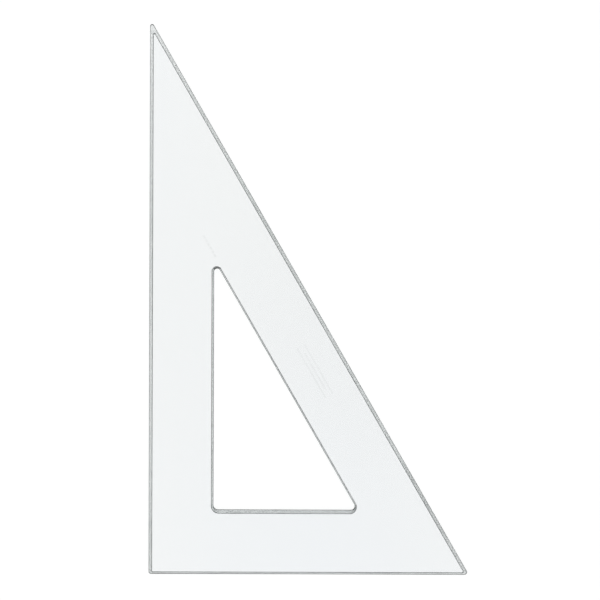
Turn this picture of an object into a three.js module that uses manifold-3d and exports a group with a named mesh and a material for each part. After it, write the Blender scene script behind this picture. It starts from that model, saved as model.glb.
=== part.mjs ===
// A clear acrylic set square with angles of 30, 60 and 90 degrees, lying flat on its underside.
//
// Millimetres, +Z up. The long leg runs along Y with the 30 degree point at +Y, the short leg runs
// along X at the -Y end, and the right angle is at the -X, -Y corner. The origin is on the
// underside, at the middle of the outline's bounding box.
//
// The plate is one piece of sheet. Its three outer edges are bevelled underneath, which keeps ink
// from creeping under them, and leave an upright land at the top that guides the pen. The cutout's
// three sides are bevelled underneath too, the lower one most of the way up as a finger lift.

import * as THREE from "three";
import { mergeVertices } from "three/addons/utils/BufferGeometryUtils.js";
import Module from "manifold-3d";

// Driving dimensions. The legs are measured between sharp corners, before these are rounded.
const LONG_LEG = 254;
const POINT_ANGLE = THREE.MathUtils.degToRad(30);
const THICKNESS = 2.5;
const ARM_WIDTH = 29.55;
const OUTER_RADII = { right: 1.1, wide: 1.2, point: 0.9 };
const CUTOUT_RADII = { right: 2.1, wide: 1.65, point: 1.45 };

// Widths of the bevels. Each one slopes at 45 degrees, so its height is the same.
const INKING_BEVEL = { longLeg: 1.3, shortLeg: 0.65, hypotenuse: 1.5 };
const CUTOUT_BEVEL = { longLeg: 1.0, shortLeg: 2.0, hypotenuse: 0.6 };
const CUTOUT_UNDER_RADII = { right: 3.6, wide: 3.2, point: 2.25 };

const CURVE_SEGMENTS = 10;
const CLEARANCE = 5; // how far a cutter reaches past what it cuts

const SHORT_LEG = LONG_LEG * Math.tan(POINT_ANGLE);

// Each side lies at its distance from the right angle along its outward direction.
const SIDES = {
  longLeg: { direction: Math.PI, distance: 0 },
  shortLeg: { direction: 1.5 * Math.PI, distance: 0 },
  hypotenuse: { direction: 2 * Math.PI + POINT_ANGLE, distance: SHORT_LEG * Math.cos(POINT_ANGLE) },
};

// The corners in anticlockwise order, each between the side before it and the side after it.
const CORNERS = [
  { name: "right", before: "longLeg", after: "shortLeg" },
  { name: "wide", before: "shortLeg", after: "hypotenuse" },
  { name: "point", before: "hypotenuse", after: "longLeg" },
];

const wasm = await Module();
wasm.setup();

function solidFrom(geometry) {
  geometry.deleteAttribute("normal");
  geometry.deleteAttribute("uv");
  const merged = mergeVertices(geometry);
  const mesh = new wasm.Mesh({
    numProp: 3,
    vertProperties: new Float32Array(merged.attributes.position.array),
    triVerts: new Uint32Array(merged.index.array),
  });
  return new wasm.Manifold(mesh);
}

function geometryFrom(solid) {
  const mesh = solid.getMesh();
  const indexed = new THREE.BufferGeometry();
  indexed.setAttribute("position", new THREE.BufferAttribute(mesh.vertProperties, 3));
  indexed.setIndex(new THREE.BufferAttribute(mesh.triVerts, 1));
  const geometry = indexed.toNonIndexed(); // so that each face is shaded flat
  geometry.computeVertexNormals();
  return geometry;
}

// Where two sides meet, once each is moved in by its own inset.
function crossing(a, b, insetA, insetB) {
  const distanceA = a.distance - insetA;
  const distanceB = b.distance - insetB;
  const turn = Math.sin(b.direction - a.direction);
  const x = (distanceA * Math.sin(b.direction) - distanceB * Math.sin(a.direction)) / turn;
  const y = (distanceB * Math.cos(a.direction) - distanceA * Math.cos(b.direction)) / turn;
  return new THREE.Vector2(x, y);
}

// The set square's triangle with each side moved in by its inset and each corner rounded.
function roundedTriangle(insets, radii) {
  const shape = new THREE.Shape();
  for (const { name, before, after } of CORNERS) {
    const radius = radii[name];
    const first = SIDES[before];
    const second = SIDES[after];
    const centre = crossing(first, second, insets[before] + radius, insets[after] + radius);
    shape.absarc(centre.x, centre.y, radius, first.direction, second.direction, false);
  }
  return shape;
}

function extruded(shape, depth) {
  return new THREE.ExtrudeGeometry(shape, {
    depth,
    bevelEnabled: false,
    curveSegments: CURVE_SEGMENTS,
  });
}

// A column that passes through the whole sheet.
function throughColumn(shape) {
  const column = extruded(shape, THICKNESS + 2 * CLEARANCE);
  column.translate(0, 0, -CLEARANCE);
  return solidFrom(column);
}

// A prism that runs the whole length of a side and past both its ends. Its profile is drawn as
// [distance in from the side, height].
function prismAlong(side, profile) {
  const outward = new THREE.Vector3(Math.cos(side.direction), Math.sin(side.direction), 0);
  const inward = outward.clone().negate();
  const up = new THREE.Vector3(0, 0, 1);
  const along = new THREE.Vector3().crossVectors(inward, up);
  const start = outward.multiplyScalar(side.distance).addScaledVector(along, -2 * LONG_LEG);
  const points = profile.map(([inset, height]) => new THREE.Vector2(inset, height));
  const prism = extruded(new THREE.Shape(points), 4 * LONG_LEG);
  prism.applyMatrix4(new THREE.Matrix4().makeBasis(inward, up, along).setPosition(start));
  return solidFrom(prism);
}

// Takes the lower corner off an outer edge.
function inkingBevelCutter(sideName) {
  const width = INKING_BEVEL[sideName];
  const reach = width + CLEARANCE;
  return prismAlong(SIDES[sideName], [
    [-CLEARANCE, -CLEARANCE],
    [reach, -CLEARANCE],
    [-CLEARANCE, reach],
  ]);
}

// The same value for every side.
function same(value) {
  return { longLeg: value, shortLeg: value, hypotenuse: value };
}

// The points of a rounded triangle. A side has its own inset and height, and each corner climbs
// evenly from the height of the side before it to that of the side after it.
function ring(insets, heights, radii) {
  const points = [];
  for (const { name, before, after } of CORNERS) {
    const radius = radii[name];
    const first = SIDES[before];
    const second = SIDES[after];
    const centre = crossing(first, second, insets[before] + radius, insets[after] + radius);
    const sweep = THREE.MathUtils.euclideanModulo(second.direction - first.direction, 2 * Math.PI);
    for (let step = 0; step <= CURVE_SEGMENTS; step += 1) {
      const share = step / CURVE_SEGMENTS;
      const angle = first.direction + sweep * share;
      const x = centre.x + radius * Math.cos(angle);
      const y = centre.y + radius * Math.sin(angle);
      points.push([x, y, THREE.MathUtils.lerp(heights[before], heights[after], share)]);
    }
  }
  return points;
}

// Takes the lower corner off the cutout's three sides. A hull through the outlines rounds its
// corners, and each side's own sloping plane then bounds it, because the bevels differ in height.
function cutoutBevelCutter() {
  const widened = same(ARM_WIDTH);
  for (const name of Object.keys(widened)) widened[name] -= CUTOUT_BEVEL[name];
  let cutter = wasm.Manifold.hull([
    ...ring(same(ARM_WIDTH), CUTOUT_BEVEL, CUTOUT_RADII),
    ...ring(widened, same(0), CUTOUT_UNDER_RADII),
    ...ring(widened, same(-CLEARANCE), CUTOUT_UNDER_RADII),
  ]);
  for (const [name, { direction, distance }] of Object.entries(SIDES)) {
    const normal = [-Math.cos(direction), -Math.sin(direction), -1];
    cutter = cutter.trimByPlane(normal, (widened[name] - distance) / Math.SQRT2);
  }
  return cutter;
}

function plateGeometry() {
  let sheet = solidFrom(extruded(roundedTriangle(same(0), OUTER_RADII), THICKNESS));
  sheet = sheet.subtract(throughColumn(roundedTriangle(same(ARM_WIDTH), CUTOUT_RADII)));
  for (const sideName of Object.keys(SIDES)) sheet = sheet.subtract(inkingBevelCutter(sideName));
  return geometryFrom(sheet.subtract(cutoutBevelCutter()));
}

function clearAcrylic() {
  return new THREE.MeshStandardMaterial({
    color: 0xe4efed,
    roughness: 0.06,
    metalness: 0,
    transparent: true,
    opacity: 0.35,
  });
}

const plate = new THREE.Mesh(plateGeometry(), clearAcrylic());
plate.name = "set_square_plate";
plate.geometry.computeBoundingBox();
const middle = plate.geometry.boundingBox.getCenter(new THREE.Vector3());
plate.position.set(-middle.x, -middle.y, 0);

const group = new THREE.Group();
group.add(plate);

export default group;
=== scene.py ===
import math

import bmesh
import bpy
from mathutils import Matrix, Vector


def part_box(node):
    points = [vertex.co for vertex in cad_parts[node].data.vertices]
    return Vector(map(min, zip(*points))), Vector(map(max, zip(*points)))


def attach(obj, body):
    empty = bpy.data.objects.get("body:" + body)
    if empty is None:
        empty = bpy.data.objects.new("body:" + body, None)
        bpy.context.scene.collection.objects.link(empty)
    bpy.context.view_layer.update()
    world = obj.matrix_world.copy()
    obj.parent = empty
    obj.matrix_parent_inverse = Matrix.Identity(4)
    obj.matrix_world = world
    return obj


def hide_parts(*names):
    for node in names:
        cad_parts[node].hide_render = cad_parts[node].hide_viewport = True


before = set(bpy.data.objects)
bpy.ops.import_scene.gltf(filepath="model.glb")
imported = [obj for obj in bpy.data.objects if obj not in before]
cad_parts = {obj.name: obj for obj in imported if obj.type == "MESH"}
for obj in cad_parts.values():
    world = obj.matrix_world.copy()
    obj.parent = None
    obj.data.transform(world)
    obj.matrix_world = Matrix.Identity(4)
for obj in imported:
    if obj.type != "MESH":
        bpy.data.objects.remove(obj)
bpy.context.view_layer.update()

# Everything is in metres, in the row frame: +Z up, the long leg along Y, the right angle at -X, -Y.
MM = 0.001
NODE = "set_square_plate"
LOW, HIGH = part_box(NODE)

# The plate, as in the CAD model.
POINT_ANGLE = math.radians(30)
THICKNESS = HIGH.z
ARM_WIDTH = 29.55 * MM
OUTER_RADII = {"right": 1.1 * MM, "wide": 1.2 * MM, "point": 0.9 * MM}
CUTOUT_RADII = {"right": 2.1 * MM, "wide": 1.65 * MM, "point": 1.45 * MM}
INKING_BEVEL = {"long_leg": 1.3 * MM, "short_leg": 0.65 * MM, "hypotenuse": 1.5 * MM}
CUTOUT_BEVEL = {"long_leg": 1.0 * MM, "short_leg": 2.0 * MM, "hypotenuse": 0.6 * MM}
CUTOUT_UNDER_RADII = {"right": 3.6 * MM, "wide": 3.2 * MM, "point": 2.25 * MM}

# Finer than the CAD model: the outline's corners on the underside, and the breaks along the edges.
OUTER_UNDER_RADII = {"right": 0.3 * MM, "wide": 0.4 * MM, "point": 0.5 * MM}
EDGE_BREAK = 0.18 * MM
BREAK_STEPS = 4
CORNER_STEPS = 18

# The marks: places are (distance up the hypotenuse, distance in from it).
MARK_DEPTH = 0.05 * MM
MARK_FROST = 0.22
DASH_ROW_AT = (189.4 * MM, 28.2 * MM)
DASH_COUNT = 6
DASH_LENGTH = 1.3 * MM
DASH_HEIGHT = 1.0 * MM
DASH_PITCH = 1.94 * MM
BARS_AT = (115.9 * MM, 14.8 * MM)
BAR_LENGTHS = (26.0 * MM, 19.0 * MM, 26.0 * MM)
BAR_HEIGHT = 0.8 * MM
BAR_PITCH = 1.9 * MM

# The acrylic: the colour and share per metre that it takes up, and the range of each finish on its
# faces, its cut edges and its edge breaks. The cut edges' grey is partly their frosted colour and
# partly painted shade; the breaks' near-black is all painted shade, for the dark lines that their
# curves refract. CUT and BREAK_SHADE_MASK name the attributes that tell those apart.
REFRACTIVE_INDEX = 1.49
ABSORBED = (0.0, 0.4, 0.3, 1)
ABSORPTION = 4.0
LET_THROUGH = (0.97, 0.975, 0.975, 1)
CUT, BREAK_SHADE_MASK = "cut", "break_shade_mask"
FACE_ROUGHNESS = (0.0, 0.025)
FACE_TINTS = ((1.0, 0.994, 0.984), (0.962, 0.968, 0.990))
SCRATCH_DEPTH = 0.0003 * MM
EDGE_ROUGHNESS = (0.40, 0.54)
# The cut edges' grey is partly the frosted acrylic's colour and partly painted shade, darkened to stand
# in for the shade under the bevels.
EDGE_TINTS_AND_SHADE = ((0.46, 0.48, 0.475), (0.64, 0.66, 0.655))
GROOVE_DEPTH = 0.004 * MM
# Painted shade: the edge breaks are coloured near-black for the dark lines that their curves refract.
BREAK_SHADE_TINTS = ((0.004, 0.005, 0.005), (0.03, 0.035, 0.034))

# The floor lies just under the plate, so that the two never share a plane.
FLOOR_HALF_SIZE = 4.0
FLOOR_GAP = 0.05 * MM
FLOOR_COLOUR = (0.85, 0.85, 0.85, 1)
FLOOR_ROUGHNESS = 0.9

# How bright the soft tent round the object is at each elevation above its own level, in degrees.
# The camera looks through a darker opening at the top, which leans a little towards +X.
SKY = ((0, 0.6), (8, 0.48), (28, 0.6), (42, 1.0), (62, 1.0), (76, 0.5), (83, 0.3), (90, 0.04))
TENT_LEAN = math.radians(4)
TENT_AXIS = Vector((math.sin(TENT_LEAN), 0, math.cos(TENT_LEAN)))
SKY_STRENGTH = 1.55

# The camera looks straight down, turned a little about its axis.
VIEW_WIDTH = 274.5 * MM
LENS = 100.0
CAMERA_TURN = math.radians(0.18)
AIM = Vector((-3.957 * MM, -0.288 * MM, THICKNESS))

LONG_LEG = HIGH.y - LOW.y + OUTER_RADII["point"] * (1 / math.tan(POINT_ANGLE / 2) - 1)
SHORT_LEG = LONG_LEG * math.tan(POINT_ANGLE)

SIDES = ("long_leg", "short_leg", "hypotenuse")
OUTWARD = {"long_leg": math.pi, "short_leg": 1.5 * math.pi, "hypotenuse": 2 * math.pi + POINT_ANGLE}
DISTANCE = {"long_leg": 0.0, "short_leg": 0.0, "hypotenuse": SHORT_LEG * math.cos(POINT_ANGLE)}
CORNERS = (
    ("right", "long_leg", "short_leg"),
    ("wide", "short_leg", "hypotenuse"),
    ("point", "hypotenuse", "long_leg"),
)


def crossing(first, second, inset_first, inset_second):
    """Where two sides meet, each moved in by its own inset, in the row frame."""
    a, b = OUTWARD[first], OUTWARD[second]
    da, db = DISTANCE[first] - inset_first, DISTANCE[second] - inset_second
    turn = math.sin(b - a)
    x = (da * math.sin(b) - db * math.sin(a)) / turn
    y = (db * math.cos(a) - da * math.cos(b)) / turn
    return Vector((LOW.x + x, LOW.y + y, 0))


def ring(insets, heights, radii):
    """The rounded triangle at one level, as points. A side has its own inset and height."""
    points = []
    for corner, before, after in CORNERS:
        radius = radii[corner]
        centre = crossing(before, after, insets[before] + radius, insets[after] + radius)
        start = OUTWARD[before]
        sweep = (OUTWARD[after] - start) % (2 * math.pi)
        for step in range(CORNER_STEPS + 1):
            t = step / CORNER_STEPS
            angle = start + sweep * t
            point = centre + radius * Vector((math.cos(angle), math.sin(angle), 0))
            point.z = heights[before] * (1 - t) + heights[after] * t
            points.append(point)
    return points


def eased(profile):
    """An open profile of (inset, height) points with each inner corner rounded by the edge break."""
    points = [Vector(p) for p in profile]
    out = [points[0]]
    for before, corner, after in zip(points, points[1:], points[2:]):
        back, ahead = (before - corner).normalized(), (after - corner).normalized()
        start, end = corner + back * EDGE_BREAK, corner + ahead * EDGE_BREAK
        for step in range(BREAK_STEPS + 1):
            t = step / BREAK_STEPS
            out.append(start * (1 - t) ** 2 + corner * 2 * t * (1 - t) + end * t * t)
    out.append(points[-1])
    return out


def is_break(level, levels):
    """True for the strip from this level of an eased profile to the next, if it is part of a break."""
    return 1 <= level < levels - 1 and (level - 1) % (BREAK_STEPS + 1) < BREAK_STEPS


def outer_profile(side):
    """From the upper face, down the land and in along the bevel, to the underside."""
    bevel = INKING_BEVEL[side]
    face = bevel + 4 * EDGE_BREAK
    return eased([(face, THICKNESS), (0, THICKNESS), (0, bevel), (bevel, 0), (face, 0)])


def cutout_profile(side):
    """From the underside, in along the bevel and up the upright side to the upper face."""
    bevel = CUTOUT_BEVEL[side]
    face = ARM_WIDTH - max(CUTOUT_BEVEL.values()) - 4 * EDGE_BREAK
    corner = (ARM_WIDTH, bevel)
    return eased([(face, 0), (ARM_WIDTH - bevel, 0), corner, (ARM_WIDTH, THICKNESS), (face, THICKNESS)])


def rings_of(profile_of, radii_at):
    """One ring for each point of a side's profile, with radii that follow its mean height."""
    profiles = {side: profile_of(side) for side in SIDES}
    levels = len(profiles["long_leg"])
    for level in range(levels):
        insets = {side: profiles[side][level].x for side in SIDES}
        heights = {side: profiles[side][level].y for side in SIDES}
        yield ring(insets, heights, radii_at(mean(heights.values())))


def blended(lower, upper, share):
    share = min(max(share, 0), 1)
    return {corner: lower[corner] * (1 - share) + upper[corner] * share for corner in lower}


def mean(values):
    return sum(values) / len(values)


def outer_radii(height):
    return blended(OUTER_UNDER_RADII, OUTER_RADII, height / mean(INKING_BEVEL.values()))


def cutout_radii(height):
    return blended(CUTOUT_UNDER_RADII, CUTOUT_RADII, height / mean(CUTOUT_BEVEL.values()))


def plate():
    """The rings joined one to the next, round the outside and back through the cutout."""
    rings = [*rings_of(outer_profile, outer_radii), *rings_of(cutout_profile, cutout_radii)]
    mesh = bmesh.new()
    break_shade_mask = mesh.faces.layers.float.new(BREAK_SHADE_MASK)
    loops = [[mesh.verts.new(point) for point in points] for points in rings]
    levels = len(loops) // 2
    for i, loop in enumerate(loops):
        below = loops[(i + 1) % len(loops)]
        for k in range(len(loop)):
            n = (k + 1) % len(loop)
            face = mesh.faces.new((loop[k], below[k], below[n], loop[n]))
            # The breaks are marked for painted shade, a near-black colour in place of the dark lines
            # they refract.
            face[break_shade_mask] = 1.0 if is_break(i % levels, levels) else 0.0
    bmesh.ops.recalc_face_normals(mesh, faces=mesh.faces)
    data = bpy.data.meshes.new("plate")
    mesh.to_mesh(data)
    mesh.free()
    piece = bpy.data.objects.new("set_square", data)
    bpy.context.scene.collection.objects.link(piece)
    engrave(piece)
    finish(piece)
    return piece


def finish(piece):
    """Tells the large faces, the marks and the cut edges apart, and smooths the small breaks."""
    data = piece.data
    data.materials.clear()
    data.materials.append(acrylic())
    cut = data.attributes.new(CUT, "FLOAT", "FACE")
    for face in data.polygons:
        level = abs(face.normal.z) > 0.999
        marked = level and THICKNESS - face.center.z > MARK_DEPTH / 2 and face.center.z > MARK_DEPTH
        cut.data[face.index].value = MARK_FROST if marked else 0.0 if level else 1.0
    data.shade_smooth()
    data.set_sharp_from_angle(angle=math.radians(30))
    weighted = piece.modifiers.new("normals", "WEIGHTED_NORMAL")
    weighted.keep_sharp = True
    applied(piece)


def along_hypotenuse(along, inset):
    """A point on the upper face, from its distance up the hypotenuse and in from it."""
    outward = OUTWARD["hypotenuse"]
    normal = Vector((math.cos(outward), math.sin(outward), 0))
    upwards = Vector((-normal.y, normal.x, 0))
    start = Vector((LOW.x + SHORT_LEG, LOW.y, THICKNESS))
    return start + upwards * along - normal * inset


def prism(mesh, corners):
    """A cutter through the upper face, over corners given as (along, inset), anticlockwise."""
    floor_of_mark = [along_hypotenuse(*corner) - Vector((0, 0, MARK_DEPTH)) for corner in corners]
    above = [along_hypotenuse(*corner) + Vector((0, 0, THICKNESS)) for corner in corners]
    low = [mesh.verts.new(point) for point in floor_of_mark]
    high = [mesh.verts.new(point) for point in above]
    mesh.faces.new(reversed(low))
    mesh.faces.new(high)
    for k in range(len(corners)):
        n = (k + 1) % len(corners)
        mesh.faces.new((low[k], low[n], high[n], high[k]))


def bar(mesh, along, inset, length, height):
    start, end = along - length / 2, along + length / 2
    near, far = inset - height / 2, inset + height / 2
    prism(mesh, [(start, near), (end, near), (end, far), (start, far)])


def marks():
    """Plain generic marks: a row of dashes above the cutout, and three bars on the sloping arm."""
    mesh = bmesh.new()
    for k in range(DASH_COUNT):
        offset = (k - (DASH_COUNT - 1) / 2) * DASH_PITCH
        bar(mesh, DASH_ROW_AT[0] + offset, DASH_ROW_AT[1], DASH_LENGTH, DASH_HEIGHT)
    for k, length in enumerate(BAR_LENGTHS):
        bar(mesh, BARS_AT[0], BARS_AT[1] + (k - 1) * BAR_PITCH, length, BAR_HEIGHT)
    bmesh.ops.recalc_face_normals(mesh, faces=mesh.faces)
    data = bpy.data.meshes.new("marks")
    mesh.to_mesh(data)
    mesh.free()
    return bpy.data.objects.new("marks", data)


def applied(piece):
    """Works the piece's modifiers into its mesh."""
    bpy.context.view_layer.update()
    seen = piece.evaluated_get(bpy.context.evaluated_depsgraph_get())
    data = bpy.data.meshes.new_from_object(seen)
    piece.modifiers.clear()
    piece.data = data


def engrave(piece):
    cutter = marks()
    bpy.context.scene.collection.objects.link(cutter)
    cut = piece.modifiers.new("marks", "BOOLEAN")
    cut.operation = "DIFFERENCE"
    cut.solver = "EXACT"
    cut.object = cutter
    applied(piece)
    bpy.data.objects.remove(cutter)


def add(material, kind, **values):
    node = material.node_tree.nodes.new(kind)
    for name, value in values.items():
        node.inputs[name.replace("_", " ")].default_value = value
    return node


def stretched_noise(material, scale, stretch, detail):
    """Noise over the object's own coordinates, in metres, scaled on each axis."""
    place = add(material, "ShaderNodeTexCoord")
    spread = add(material, "ShaderNodeMapping", Scale=stretch)
    noise = add(material, "ShaderNodeTexNoise", Scale=scale, Detail=detail, Roughness=0.55)
    links = material.node_tree.links
    links.new(place.outputs["Object"], spread.inputs["Vector"])
    links.new(spread.outputs[0], noise.inputs["Vector"])
    return noise.outputs["Fac"]


def ranged(material, value, low, high):
    """Noise sits near its middle, so its middle half is spread over the whole range."""
    node = add(material, "ShaderNodeMapRange")
    node.inputs["From Min"].default_value = 0.3
    node.inputs["From Max"].default_value = 0.7
    node.inputs["To Min"].default_value = low
    node.inputs["To Max"].default_value = high
    material.node_tree.links.new(value, node.inputs["Value"])
    return node.outputs[0]


def tinted(material, value, first, second):
    ramp = add(material, "ShaderNodeValToRGB")
    ramp.color_ramp.elements[0].color = (*first, 1)
    ramp.color_ramp.elements[1].color = (*second, 1)
    material.node_tree.links.new(ranged(material, value, 0.0, 1.0), ramp.inputs[0])
    return ramp.outputs[0]


def chosen(material, kind, mask, on_faces, on_cuts):
    """One value where the mask is 0 and another where it is 1."""
    mix = material.node_tree.nodes.new("ShaderNodeMix")
    mix.data_type = kind
    place = material.node_tree.nodes.new("ShaderNodeAttribute")
    place.attribute_name = mask
    sockets = [s for s in mix.inputs if s.enabled]
    links = material.node_tree.links
    links.new(place.outputs["Fac"], sockets[0])
    for name, value in (("A", on_faces), ("B", on_cuts)):
        links.new(value, next(s for s in sockets if s.name == name))
    return next(s for s in mix.outputs if s.enabled)


def acrylic():
    """Clear acrylic. Its large faces have slow smudges in the gloss, hairline scratches and a tint
    that drifts. On its cut edges height alone drives the fine noise, so the lines run along every
    side. It is all one material, because light that enters by a face and leaves by an edge has to
    leave the same volume. Light bound for the floor passes straight through."""
    material = bpy.data.materials.new("clear_acrylic")
    material.use_nodes = True
    nodes, links = material.node_tree.nodes, material.node_tree.links
    shader = nodes["Principled BSDF"]
    shader.inputs["IOR"].default_value = REFRACTIVE_INDEX
    shader.inputs["Transmission Weight"].default_value = 1.0

    smudges = stretched_noise(material, 22.0, (1, 1, 1), 4.0)
    drift = stretched_noise(material, 5.0, (1, 0.35, 1), 1.0)
    hairs = stretched_noise(material, 90.0, (14, 0.6, 1), 3.0)
    lines = stretched_noise(material, 1.0, (60, 60, 9000), 3.0)
    patches = stretched_noise(material, 140.0, (1, 1, 1), 2.0)
    gloss = ranged(material, smudges, *FACE_ROUGHNESS)
    dulled = ranged(material, patches, *EDGE_ROUGHNESS)
    links.new(chosen(material, "FLOAT", CUT, gloss, dulled), shader.inputs["Roughness"])
    faces = tinted(material, drift, *FACE_TINTS)
    # The cut edges' colour: frosted grey, darkened further as painted shade.
    edges = tinted(material, lines, *EDGE_TINTS_AND_SHADE)
    # The breaks get painted shade: a near-black colour for the dark lines that their curves refract.
    breaks = tinted(material, patches, *BREAK_SHADE_TINTS)
    cuts = chosen(material, "RGBA", BREAK_SHADE_MASK, edges, breaks)
    links.new(chosen(material, "RGBA", CUT, faces, cuts), shader.inputs["Base Color"])
    scratches = ranged(material, hairs, 0.0, SCRATCH_DEPTH)
    grooves = ranged(material, lines, 0.0, GROOVE_DEPTH)
    bump = add(material, "ShaderNodeBump", Strength=1.0, Distance=1.0)
    links.new(chosen(material, "FLOAT", CUT, scratches, grooves), bump.inputs["Height"])
    links.new(bump.outputs[0], shader.inputs["Normal"])

    volume = add(material, "ShaderNodeVolumeAbsorption", Color=ABSORBED, Density=ABSORPTION)
    links.new(volume.outputs[0], nodes["Material Output"].inputs["Volume"])
    surface = shader.outputs[0]
    for ray in ("Is Diffuse Ray", "Is Shadow Ray"):
        path = nodes.new("ShaderNodeLightPath")
        clear = add(material, "ShaderNodeBsdfTransparent", Color=LET_THROUGH)
        mix = nodes.new("ShaderNodeMixShader")
        links.new(path.outputs[ray], mix.inputs[0])
        links.new(surface, mix.inputs[1])
        links.new(clear.outputs[0], mix.inputs[2])
        surface = mix.outputs[0]
    links.new(surface, nodes["Material Output"].inputs["Surface"])
    return material


def floor():
    mesh = bmesh.new()
    bmesh.ops.create_grid(mesh, x_segments=1, y_segments=1, size=FLOOR_HALF_SIZE)
    data = bpy.data.meshes.new("floor")
    mesh.to_mesh(data)
    mesh.free()
    piece = bpy.data.objects.new("floor", data)
    piece.location.z = -FLOOR_GAP
    bpy.context.scene.collection.objects.link(piece)
    material = bpy.data.materials.new("floor")
    material.use_nodes = True
    shader = material.node_tree.nodes["Principled BSDF"]
    shader.inputs["Base Color"].default_value = FLOOR_COLOUR
    shader.inputs["Roughness"].default_value = FLOOR_ROUGHNESS
    shader.inputs["Specular IOR Level"].default_value = 0.0
    data.materials.append(material)


def lights():
    world = bpy.data.worlds.new("world")
    bpy.context.scene.world = world
    world.use_nodes = True
    nodes, links = world.node_tree.nodes, world.node_tree.links
    background = nodes["Background"]
    direction = nodes.new("ShaderNodeTexCoord")
    height = nodes.new("ShaderNodeVectorMath")
    height.operation = "DOT_PRODUCT"
    height.inputs[1].default_value = TENT_AXIS
    ramp = nodes.new("ShaderNodeValToRGB")
    links.new(direction.outputs["Generated"], height.inputs[0])
    links.new(height.outputs["Value"], ramp.inputs[0])
    links.new(ramp.outputs[0], background.inputs["Color"])
    background.inputs["Strength"].default_value = SKY_STRENGTH
    elements = ramp.color_ramp.elements
    elements.remove(elements[1])
    for i, (elevation, value) in enumerate(SKY):
        at = math.sin(math.radians(elevation))
        element = elements[0] if i == 0 else elements.new(at)
        element.position = at
        element.color = (value, value, value, 1)


def camera():
    data = bpy.data.cameras.new("camera")
    data.lens = LENS
    distance = VIEW_WIDTH / data.sensor_width * LENS
    data.clip_start, data.clip_end = 0.01, 20.0
    eye = bpy.data.objects.new("camera", data)
    eye.location = AIM + Vector((0, 0, distance))
    eye.rotation_euler = (0, 0, CAMERA_TURN)
    bpy.context.scene.collection.objects.link(eye)
    bpy.context.scene.camera = eye
    bpy.context.scene.view_settings.view_transform = "Standard"


camera()
lights()
floor()
piece = plate()
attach(piece, "root")
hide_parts(NODE)
